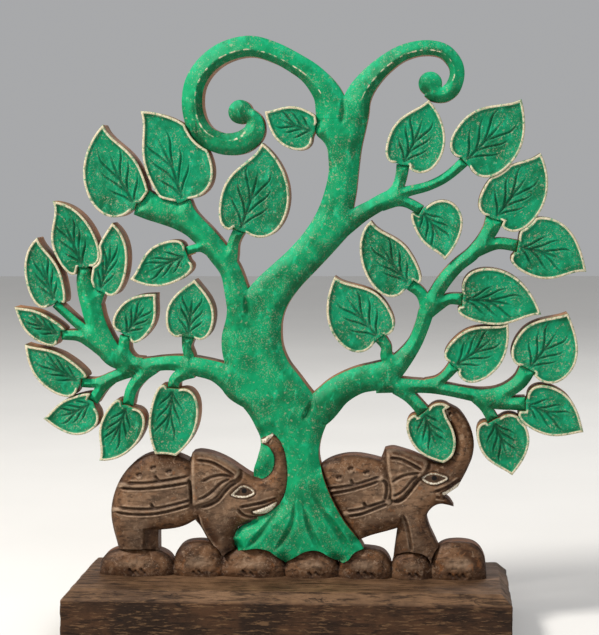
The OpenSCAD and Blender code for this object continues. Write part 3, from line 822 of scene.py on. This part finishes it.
def carve_boulders(board, seed):
    """A dome for each boulder, with two or three chip cuts at its foot."""
    p = board.points
    best = np.zeros(len(p))
    for left, right, top in BOULDERS:
        u = (p[:, 0] - (left + right) / 2) / ((right - left) / 2)
        v = np.clip(p[:, 1], 0, None) / top
        r = (np.abs(u)**BOULDER_BLUNTNESS + np.abs(v)**BOULDER_BLUNTNESS)**(1 / BOULDER_BLUNTNESS)
        best = np.maximum(best, np.sqrt(np.clip(1 - r**DOME_BLUNTNESS, 0, 1)))
    drop = BOULDER_DEPTH * (1 - best)
    rng = np.random.default_rng(seed)
    cut = np.zeros(len(p))
    for left, right, top in BOULDERS:
        middle = (left + right) / 2 + rng.uniform(-3, 3)
        for k in range(rng.integers(2, 4)):
            foot = np.array([middle + CHIP_GAP * k + rng.uniform(-0.5, 0.5), rng.uniform(0.6, 1.4)])
            way = CHIP_WAY * CHIP_LENGTH * rng.uniform(0.8, 1.1)
            chip = [foot, foot + way / 2, foot + way]
            cut = np.maximum(cut, stroke(p, chip, CHIP_CUT, taper=(0.02, 0.2)))
    drop += 0.28 * ripple(p, 10, seed) + 0.1 * ripple(p, 3.5, seed + 1) + CHIP_DEPTH * cut
    masks = no_paint(len(p))
    # painted shade between and around the domes and at their foot; the chips carry dark stain
    for values in (cut, 0.9 * (1 - step(0.1, 0.6, best)), 0.5 * (1 - step(0, 7, p[:, 1]))):
        lay(masks, DARK, values)
    # painted highlight on the dome tops
    lay(masks, RUB_AND_HIGHLIGHT, 0.8 * step(0.75, 0.97, best) * step(4, 12, p[:, 1]))
    return np.maximum(drop, LEAST_DROP), masks


# ---- materials --------------------------------------------------------------------------------


def srgb(r, g, b):
    """A colour given in 0 to 255 display values."""
    line = [c / 255 / 12.92 if c <= 10 else ((c / 255 + 0.055) / 1.055)**2.4 for c in (r, g, b)]
    return (*line, 1)


class Shader:
    """A small builder for node materials; every pattern is in object coordinates, in metres."""

    def __init__(self, name):
        self.material = bpy.data.materials.new(name)
        self.material.use_nodes = True
        self.tree = self.material.node_tree
        self.bsdf = self.tree.nodes["Principled BSDF"]
        self.coords = self.tree.nodes.new("ShaderNodeTexCoord").outputs["Object"]

    def node(self, kind, **values):
        n = self.tree.nodes.new(kind)
        for key, value in values.items():
            setattr(n, key, value)
        return n

    def link(self, a, b):
        self.tree.links.new(a, b)

    def put(self, socket, value):
        if isinstance(value, (int, float, tuple)):
            socket.default_value = value
        else:
            self.link(value, socket)

    def stretched(self, scale, turn=(0, 0, 0)):
        m = self.node("ShaderNodeMapping")
        m.inputs["Scale"].default_value = scale
        m.inputs["Rotation"].default_value = turn
        self.link(self.coords, m.inputs["Vector"])
        return m.outputs["Vector"]

    def noise(self, scale, detail=4, rough=0.55, at=None, warp=0.0):
        n = self.node("ShaderNodeTexNoise")
        n.inputs["Scale"].default_value = scale
        n.inputs["Detail"].default_value = detail
        n.inputs["Roughness"].default_value = rough
        n.inputs["Distortion"].default_value = warp
        self.link(at or self.coords, n.inputs["Vector"])
        return n.outputs["Fac"]

    def band(self, value, lo, hi, low=0.0, high=1.0):
        """value mapped from lo..hi to low..high, clamped, with soft ends."""
        m = self.node("ShaderNodeMapRange", interpolation_type="SMOOTHSTEP")
        for key, v in zip(("From Min", "From Max", "To Min", "To Max"), (lo, hi, low, high)):
            m.inputs[key].default_value = v
        self.put(m.inputs["Value"], value)
        return m.outputs["Result"]

    def math(self, operation, a, b=0.0):
        m = self.node("ShaderNodeMath", operation=operation, use_clamp=operation != "SUBTRACT")
        self.put(m.inputs[0], a)
        self.put(m.inputs[1], b)
        return m.outputs[0]

    def mix(self, factor, a, b):
        m = self.node("ShaderNodeMix", data_type="RGBA")
        self.put(m.inputs["Factor"], factor)
        self.put(m.inputs[6], a)
        self.put(m.inputs[7], b)
        return m.outputs[2]

    def paint(self):
        """The pale, dark (dark stain and painted shade), bare, black, and rub-and-highlight (rubbed
        paint and painted highlight) masks of a carved piece.
        """
        a = self.node("ShaderNodeAttribute", attribute_name="paint")
        s = self.node("ShaderNodeSeparateColor")
        self.link(a.outputs["Color"], s.inputs["Color"])
        w = self.node("ShaderNodeAttribute", attribute_name="wear_and_highlight")
        return s.outputs[0], s.outputs[1], s.outputs[2], a.outputs["Alpha"], w.outputs["Fac"]

    def finish(self, colour, rough, height, distance, strength=0.5):
        self.put(self.bsdf.inputs["Base Color"], colour)
        self.put(self.bsdf.inputs["Roughness"], rough)
        bump = self.node("ShaderNodeBump")
        bump.inputs["Strength"].default_value = strength
        bump.inputs["Distance"].default_value = distance
        self.link(height, bump.inputs["Height"])
        self.link(bump.outputs["Normal"], self.bsdf.inputs["Normal"])
        return self.material


RAW, RAW_DARK = srgb(160, 112, 70), srgb(112, 72, 44)
DUST, CREAM = srgb(184, 164, 140), srgb(216, 205, 178)


def raw_wood(s, base=RAW, dark=RAW_DARK, grain=(1, 1, 0.12)):
    """Bare sawn wood with grain along one axis."""
    streak = s.noise(420, 6, 0.65, at=s.stretched(grain), warp=0.4)
    cloud = s.noise(38, 3)
    return s.mix(s.math("MULTIPLY", s.band(streak, 0.35, 0.7), s.band(cloud, 0.2, 0.8, 0.5, 1.0)),
                 base, dark), streak


SPECULAR = 0.17


def painted_wood(name, deep, body, pale, recess_and_shade, specks):
    """Green paint over carved wood, rubbed back to beige specks, with dark recesses and painted
    shade, and lighter green for rubbed paint and painted highlights.
    """
    s = Shader(name)
    rim, cut, bare, _, rub_and_highlight_mask = s.paint()
    brush = s.noise(210, 5, 0.6, at=s.stretched((1, 1, 0.55), (0, 0.6, 0)), warp=0.8)
    cloud = s.noise(46, 4, 0.6)
    paint = s.mix(s.band(cloud, 0.34, 0.62), deep, body)
    paint = s.mix(s.math("MULTIPLY", s.band(brush, 0.52, 0.72), 0.75), paint, pale)
    # lighter green where paint is rubbed, and painted highlight on the vein and crease lips and the
    # upper bevels
    rub_and_highlight_amount = s.math("MULTIPLY", rub_and_highlight_mask, s.band(brush, 0.35, 0.6, 0.35, 1.0))
    paint = s.mix(s.math("MULTIPLY", rub_and_highlight_amount, 0.8), paint, pale)
    grit = s.noise(980, 3, 0.7)
    drift = s.noise(75, 3, 0.6, warp=0.6)
    speck = s.math("MULTIPLY", s.band(grit, 0.55, 0.64), s.band(drift, 0.40, 0.58))
    flake = s.band(s.noise(430, 3, 0.6, warp=0.3), 0.62, 0.68)
    speck = s.math("MAXIMUM", speck, flake)
    paint = s.mix(s.math("MULTIPLY", speck, specks), paint, DUST)
    blot = s.noise(520, 4, 0.7, warp=0.5)
    paint = s.mix(s.band(blot, 0.60, 0.72, 0.0, 0.55), paint, recess_and_shade)
    # dark green: dark stain in the grooves, and painted shade on the lower bevels and the scrolls'
    # outer sides
    paint = s.mix(s.math("MULTIPLY", cut, s.band(brush, 0.2, 0.6, 1.0, 0.7)), paint, recess_and_shade)
    chip = s.noise(340, 5, 0.7, warp=0.4)
    wear_and_highlight = s.math("MULTIPLY", s.band(rim, 0.2, 0.65), s.band(chip, 0.36, 0.5, 0.2, 1.0))
    paint = s.mix(wear_and_highlight, paint, s.mix(s.band(grit, 0.4, 0.62), CREAM, srgb(186, 170, 138)))
    wood, _ = raw_wood(s)
    stain = s.mix(s.band(cloud, 0.42, 0.68, 0.0, 0.55), wood, recess_and_shade)
    colour = s.mix(bare, paint, stain)
    height = s.math("ADD", s.math("MULTIPLY", brush, 0.6), s.math("MULTIPLY", grit, 0.4))
    rough = s.band(brush, 0.3, 0.7, 0.46, 0.66)
    s.bsdf.inputs["Specular IOR Level"].default_value = SPECULAR
    return s.finish(colour, rough, height, 0.00032, 0.55)


def stained_wood():
    """Brown stain over carved wood, with painted highlights on the ridges, dark stain and painted
    shade from the dark mask, and lime in the eyes and tusks.
    """
    s = Shader("stained_wood")
    white, cut, bare, black, rub_and_highlight_mask = s.paint()
    streak = s.noise(330, 6, 0.65, at=s.stretched((0.36, 1, 1), (0, -0.12, 0)), warp=0.5)
    cloud = s.noise(58, 4, 0.6, warp=0.4)
    colour = s.mix(s.band(cloud, 0.36, 0.62), srgb(72, 46, 27), srgb(114, 82, 57))
    colour = s.mix(s.band(streak, 0.48, 0.66, 0.0, 0.85), colour, srgb(48, 31, 19))
    mottle = s.noise(240, 5, 0.7, warp=0.6)
    colour = s.mix(s.band(mottle, 0.55, 0.66, 0.0, 0.5), colour, srgb(44, 28, 17))
    colour = s.mix(s.band(mottle, 0.46, 0.34, 0.0, 0.5), colour, srgb(156, 130, 106))
    # paler where the highlight mask is set: painted highlight on ridges, lips, bands and dome tops
    colour = s.mix(s.math("MULTIPLY", rub_and_highlight_mask, s.band(streak, 0.35, 0.65, 0.95, 0.4)), colour,
                   srgb(168, 142, 118))
    rust = s.noise(130, 5, 0.7, warp=0.5)
    colour = s.mix(s.band(rust, 0.58, 0.7, 0.0, 0.6), colour, srgb(142, 88, 46))
    grit = s.noise(900, 3, 0.7)
    drift = s.noise(90, 3, 0.6, warp=0.5)
    dust = s.math("MULTIPLY", s.band(grit, 0.55, 0.68), s.band(drift, 0.44, 0.66))
    colour = s.mix(s.math("MULTIPLY", dust, 0.6), colour, srgb(168, 146, 126))
    # darkest brown: dark stain in the grooves and chips, and painted shade along edges, low down
    # and between the boulders
    colour = s.mix(s.math("MULTIPLY", cut, 0.88), colour, srgb(34, 19, 11))
    chip = s.noise(420, 4, 0.7)
    lime = s.mix(s.band(grit, 0.42, 0.62), srgb(222, 214, 196), srgb(168, 150, 124))
    colour = s.mix(s.math("MULTIPLY", s.band(white, 0.15, 0.6), s.band(chip, 0.36, 0.5, 0.45, 1.0)),
                   colour, lime)
    colour = s.mix(s.band(black, 0.3, 0.6), colour, srgb(18, 14, 12))
    wood, _ = raw_wood(s, srgb(112, 74, 48), srgb(70, 43, 27), (0.12, 1, 1))
    colour = s.mix(bare, colour, wood)
    height = s.math("ADD", s.math("MULTIPLY", streak, 0.5), s.math("MULTIPLY", mottle, 0.5))
    s.bsdf.inputs["Specular IOR Level"].default_value = SPECULAR
    return s.finish(colour, s.band(streak, 0.3, 0.7, 0.46, 0.64), height, 0.0007, 0.8)


def plinth_wood():
    """Dark coarse wood with long grain, paler on the top and the chamfer: painted highlight where
    they face up, with some wear.
    """
    s = Shader("plinth_wood")
    wear_and_highlight, _, bare, _, _ = s.paint()
    streak = s.noise(300, 7, 0.7, at=s.stretched((0.12, 1, 1)), warp=0.7)
    fine = s.noise(700, 5, 0.7, at=s.stretched((0.14, 1, 1)))
    cloud = s.noise(30, 4, 0.6)
    dark = s.mix(s.band(cloud, 0.38, 0.62), srgb(40, 25, 15), srgb(74, 49, 31))
    light = s.mix(s.band(cloud, 0.35, 0.65), srgb(82, 59, 41), srgb(124, 94, 69))
    # paler on the top and the chamfer: painted highlight, with some wear
    colour = s.mix(wear_and_highlight, dark, light)
    colour = s.mix(s.band(streak, 0.48, 0.62, 0.0, 0.8), colour, srgb(30, 17, 9))
    colour = s.mix(s.band(fine, 0.53, 0.63, 0.0, 0.6), colour, srgb(122, 92, 64))
    nick = s.noise(260, 5, 0.7, at=s.stretched((0.2, 1, 1)), warp=0.8)
    colour = s.mix(s.band(nick, 0.58, 0.66, 0.0, 0.8), colour, srgb(26, 15, 8))
    colour = s.mix(bare, colour, srgb(120, 84, 56))
    height = s.math("ADD", s.math("MULTIPLY", streak, 0.6), s.math("MULTIPLY", fine, 0.4))
    s.bsdf.inputs["Specular IOR Level"].default_value = SPECULAR
    return s.finish(colour, s.band(streak, 0.3, 0.7, 0.45, 0.65), height, 0.0012, 0.8)


def dowel_wood():
    s = Shader("dowel_wood")
    colour, streak = raw_wood(s, srgb(196, 160, 112), srgb(150, 112, 70), (0.3, 1, 0.3))
    return s.finish(colour, s.band(streak, 0.3, 0.7, 0.5, 0.7), streak, 0.0002, 0.4)


def screw_steel():
    s = Shader("screw_steel")
    swirl = s.noise(260, 5, 0.6, warp=1.2)
    scuff = s.noise(1500, 4, 0.7)
    colour = s.mix(s.band(swirl, 0.35, 0.65), srgb(150, 150, 146), srgb(190, 188, 180))
    s.bsdf.inputs["Metallic"].default_value = 1.0
    return s.finish(colour, s.band(scuff, 0.3, 0.7, 0.25, 0.45), scuff, 0.00005, 0.4)


def floor_surface():
    s = Shader("studio_floor")
    cloud = s.noise(5, 3)
    grain = s.noise(800, 3)
    colour = s.mix(cloud, srgb(226, 224, 220), srgb(233, 231, 227))
    return s.finish(colour, s.band(cloud, 0.3, 0.7, 0.6, 0.7), grain, 0.00005, 0.2)


LIMB_PAINT = painted_wood("limb_paint", srgb(0, 104, 62), srgb(0, 147, 94), srgb(26, 180, 126),
                          srgb(12, 56, 26), 0.4)
LEAF_PAINT = painted_wood("leaf_paint", srgb(0, 96, 58), srgb(0, 136, 92), srgb(26, 168, 122),
                          srgb(5, 54, 34), 0.5)
STAINED, PLINTH_WOOD = stained_wood(), plinth_wood()
DOWEL_WOOD, SCREW_STEEL = dowel_wood(), screw_steel()

# ---- the plinth -------------------------------------------------------------------------------

PLINTH_STEP = 1.6
EDGE_ROUND, EDGE_POINTS = 1.1, 4
GRAIN_ROOM = 0.3
SKIN = 0.02
CHAMFER_STEPS = 5
COUNTERBORE_R, COUNTERBORE_DEPTH, COUNTERBORE_SIDES = 4.4, 12, 32


def plinth_size():
    """The plinth's chamfer, half its width and depth, and its underside's height."""
    co, _ = node_points("plinth")
    flat = co[np.abs(co[:, 2] - co[:, 2].max()) < 0.01]
    chamfer = co[:, 0].max() - flat[:, 0].max()
    return chamfer, co[:, 0].max(), co[:, 1].max(), co[:, 2].min()


def build_plinth():
    """Rings of points up the sides, over the chamfer and in over the top, with raised grain."""
    chamfer, half_w, half_d, floor = plinth_size()
    half_w, half_d = half_w - GRAIN_ROOM, half_d - GRAIN_ROOM
    n_side = [int(2 * half_w / PLINTH_STEP), int(2 * half_d / PLINTH_STEP)]

    def ring(inset, z):
        w, d, r = half_w - inset, half_d - inset, EDGE_ROUND
        corners = [(-w, -d), (w, -d), (w, d), (-w, d)]
        out = []
        for k, (cx, cy) in enumerate(corners):
            nx, ny = corners[(k + 1) % 4]
            sx, sy = math.copysign(1, cx), math.copysign(1, cy)
            start = math.atan2(sy, sx) - math.pi / 4
            for i in range(EDGE_POINTS):
                t = start + (i / (EDGE_POINTS - 1)) * math.pi / 2
                out.append((cx - sx * r + r * math.cos(t), cy - sy * r + r * math.sin(t), z))
            n = n_side[k % 2]
            for i in range(1, n):
                t = i / n
                out.append((cx + (nx - cx) * t if k % 2 == 0 else cx,
                            cy + (ny - cy) * t if k % 2 == 1 else cy, z))
        return out

    # each level: how far in from the side, and height
    levels = [(1.0, floor + SKIN), (0.25, floor + 0.5), (0, floor + 1.2)]
    z = floor + 1.2 + PLINTH_STEP
    while z < -chamfer - 0.8:
        levels.append((0, z))
        z += PLINTH_STEP
    levels += [(0, -chamfer - 0.8), (0.25, -chamfer + 0.1)]
    levels += [(0.25 + t * (chamfer - 0.5), -chamfer + 0.1 + t * (chamfer - 0.35))
               for t in np.linspace(0, 1, CHAMFER_STEPS + 1)[1:]]
    levels += [(chamfer + 0.3, -SKIN)]
    inset = chamfer + 1.5
    while inset < half_d - 1:
        levels.append((inset, -SKIN))
        inset += PLINTH_STEP * 1.3
    rings = [ring(*level) for level in levels]
    co = np.array([p for r in rings for p in r], float)
    n = len(rings[0])
    flat = np.column_stack([co[:, 0], co[:, 2] + 0.6 * co[:, 1]])
    grain = ripple(flat * (0.1, 1), 2.6, 51) * 0.13 + ripple(flat * (0.25, 1), 9, 52) * 0.22
    grain += ripple(flat * (0.35, 1), 1.7, 53, 14) * 0.06
    grain = np.clip(grain, -0.7, 0.28)
    which = np.repeat(np.arange(len(rings)), n)
    on_top = co[:, 2] > -0.5
    out = np.column_stack([np.sign(co[:, 0]) * (np.abs(co[:, 0]) > half_w - chamfer - 2),
                           np.sign(co[:, 1]) * (np.abs(co[:, 1]) > half_d - chamfer - 2)])
    size = np.maximum(np.hypot(*out.T), 1)[:, None]
    push = (which > 1) & ~on_top
    co[:, :2] += np.where(push[:, None], out / size * grain[:, None], 0)
    co[:, 2] += np.where(on_top, np.minimum(grain * 0.7, 0), 0)
    faces = []
    for k in range(len(rings) - 1):
        for i in range(n):
            j = (i + 1) % n
            faces.append((k * n + i, k * n + j, (k + 1) * n + j, (k + 1) * n + i))
    last = (len(rings) - 1) * n
    faces.append(tuple(last + i for i in range(n)))

    # underside: a face with a counterbore round each screw head
    sides = COUNTERBORE_SIDES
    screws = [(q[:, 0].min() + q[:, 0].max()) / 2 for q in loose_parts("base_screws")]
    screws = sorted({round(x, 1) for x in screws})
    outline = co[:n, :2][::-1]
    loops = [outline]
    for x in screws:
        t = np.arange(sides) / sides * 2 * math.pi
        loops.append(np.stack([x + COUNTERBORE_R * np.cos(t), COUNTERBORE_R * np.sin(t)], 1))
    _, tri = triangulate(loops, np.empty((0, 2)))
    index = list(range(n))[::-1]
    extra = []
    at = len(co)
    for loop in loops[1:]:
        mouth = list(range(at, at + sides))
        inner = list(range(at + sides, at + 2 * sides))
        for z in (floor + SKIN, floor + COUNTERBORE_DEPTH):
            extra += [(x, y, z) for x, y in loop]
        for i in range(sides):
            j = (i + 1) % sides
            faces.append((mouth[i], mouth[j], inner[j], inner[i]))
        faces.append(tuple(inner))
        index += mouth
        at += 2 * sides
    faces += [tuple(index[v] for v in t) for t in tri]
    paint = no_paint(len(co) + len(extra))
    # painted highlight rising over the chamfer to the top, with some wear
    paint[:len(co), PALE] = np.clip((co[:, 2] + chamfer + 0.6) / 1.2, 0, 1) * 0.85
    paint[len(co):, BARE] = 1
    co = np.vstack([co, np.array(extra)])
    co[:, 2] += PLINTH_TOP
    make_piece("plinth_carved", co * MM, faces, paint, "plinth", PLINTH_WOOD)


# ---- the panel --------------------------------------------------------------------------------

ELEPHANTS = ["elephant_left", "elephant_right"]
# first random seeds; limbs share one, so that their joints meet
LIMB_SEED, LEAF_SEED, ELEPHANT_SEED, BOULDER_SEED = 100, 300, 500, 700
LEAF_SEED_STEP = 5

outer = outer_segments(LIMB_NODES, ELEPHANTS + ["boulder_strip"])
elephant_loops = [smooth_loop(q, EDGE_SPACING) for q in cap_loops("elephant_left", FRONT)]

for node in LIMB_NODES:
    board = Board(cap_loops(node, face_depth(node)))
    drop, masks = carve_limb(board, node, LIMB_SEED, outer, elephant_loops)
    build(node + "_carved", board, FRONT, BACK, drop, masks, node, LIMB_PAINT)

for number, node in enumerate(LEAF_NODES):
    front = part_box(node)[0].y / MM
    board = Board(cap_loops(node, front))
    drop, masks = carve_leaf(board, LEAF_SEED + LEAF_SEED_STEP * number)
    build(node + "_carved", board, front, BACK, drop, masks, node, LEAF_PAINT)

for number, node in enumerate(ELEPHANTS):
    own = outer_segments([node], ["boulder_strip"])
    board = Board(cap_loops(node, FRONT))
    design = (LEFT, RIGHT)[number]
    back = FRONT + LAP if node == "elephant_left" else BACK
    drop, masks = carve_elephant(board, design, ELEPHANT_SEED + number, own, back - FRONT - 1)
    build(node + "_carved", board, FRONT, back, drop, masks, node, STAINED)

# the left elephant's board behind the lap; its face is hidden, so its points are sparse
body = Board(cap_loops("elephant_left", BACK), grid=6)
masks = no_paint(len(body.points))
masks[:, BARE] = 1
build("elephant_left_body", body, FRONT + LAP - 0.6, BACK, np.zeros(len(body.points)), masks,
      "elephant_left", STAINED)

board = Board(cap_loops("boulder_strip", FRONT))
drop, masks = carve_boulders(board, BOULDER_SEED)
build("boulder_strip_carved", board, FRONT, BACK, drop, masks, "boulder_strip",
      STAINED)

build_plinth()

for node, material, slot in (("leaf_pins", DOWEL_WOOD, "dowel_wood"),
                             ("bough_dowels", DOWEL_WOOD, "dowel_wood"),
                             ("base_dowels", DOWEL_WOOD, "dowel_wood"),
                             ("base_screws", SCREW_STEEL, "screw_steel")):
    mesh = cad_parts[node].data
    mesh.materials.clear()
    mesh.materials.append(material)


# ---- studio -----------------------------------------------------------------------------------

FLOOR_HALF = 4.0
BACKDROP_COLOUR, BACKDROP_STRENGTH = (0.93, 0.94, 0.96, 1), 0.42
AIM = (0, 0, 0.2)
# each light: name, place, size, watts, colour
LIGHTS = (
    ("key", (-1.15, -0.72, 1.5), 0.4, 42, (1, 0.97, 0.92)),
    ("fill", (1.2, -1.5, 0.9), 1.0, 5, (0.93, 0.96, 1)),
    ("rim", (0.5, 1.2, 1.4), 0.9, 9, (1, 1, 1)),
)
LENS, SENSOR = 99.1, 36
CAMERA_PLACE = (0.1008, -1.1959, 0.3165)
CAMERA_YAW, CAMERA_PITCH, CAMERA_ROLL = 4.47, 90 - 4.83, -0.3


def add_light(name, place, size, watts, colour):
    data = bpy.data.lights.new(name, "AREA")
    data.shape, data.size, data.energy, data.color = "SQUARE", size, watts, colour
    lamp = bpy.data.objects.new(name, data)
    lamp.location = place
    lamp.rotation_euler = (Vector(AIM) - Vector(place)).to_track_quat("-Z", "Y").to_euler()
    bpy.context.scene.collection.objects.link(lamp)


def build_studio():
    floor_mesh = bpy.data.meshes.new("studio_floor")
    r = FLOOR_HALF
    floor_mesh.from_pydata([(-r, -r, 0), (r, -r, 0), (r, r, 0), (-r, r, 0)], [], [(0, 1, 2, 3)])
    floor_mesh.materials.append(floor_surface())
    floor = bpy.data.objects.new("studio_floor", floor_mesh)
    bpy.context.scene.collection.objects.link(floor)
    bpy.context.scene.view_settings.view_transform = "Standard"
    world = bpy.data.worlds.new("studio")
    bpy.context.scene.world = world
    world.use_nodes = True
    backdrop = world.node_tree.nodes["Background"]
    backdrop.inputs["Color"].default_value = BACKDROP_COLOUR
    backdrop.inputs["Strength"].default_value = BACKDROP_STRENGTH
    for light in LIGHTS:
        add_light(*light)


def build_camera():
    data = bpy.data.cameras.new("camera")
    data.lens, data.sensor_width, data.sensor_fit = LENS, SENSOR, "AUTO"
    cam = bpy.data.objects.new("camera", data)
    yaw, pitch, roll = (math.radians(v) for v in (CAMERA_YAW, CAMERA_PITCH, CAMERA_ROLL))
    turn = Matrix.Rotation(yaw, 4, "Z") @ Matrix.Rotation(pitch, 4, "X") \
        @ Matrix.Rotation(roll, 4, "Z")
    cam.matrix_world = Matrix.Translation(CAMERA_PLACE) @ turn
    bpy.context.scene.collection.objects.link(cam)
    bpy.context.scene.camera = cam


build_studio()
build_camera()
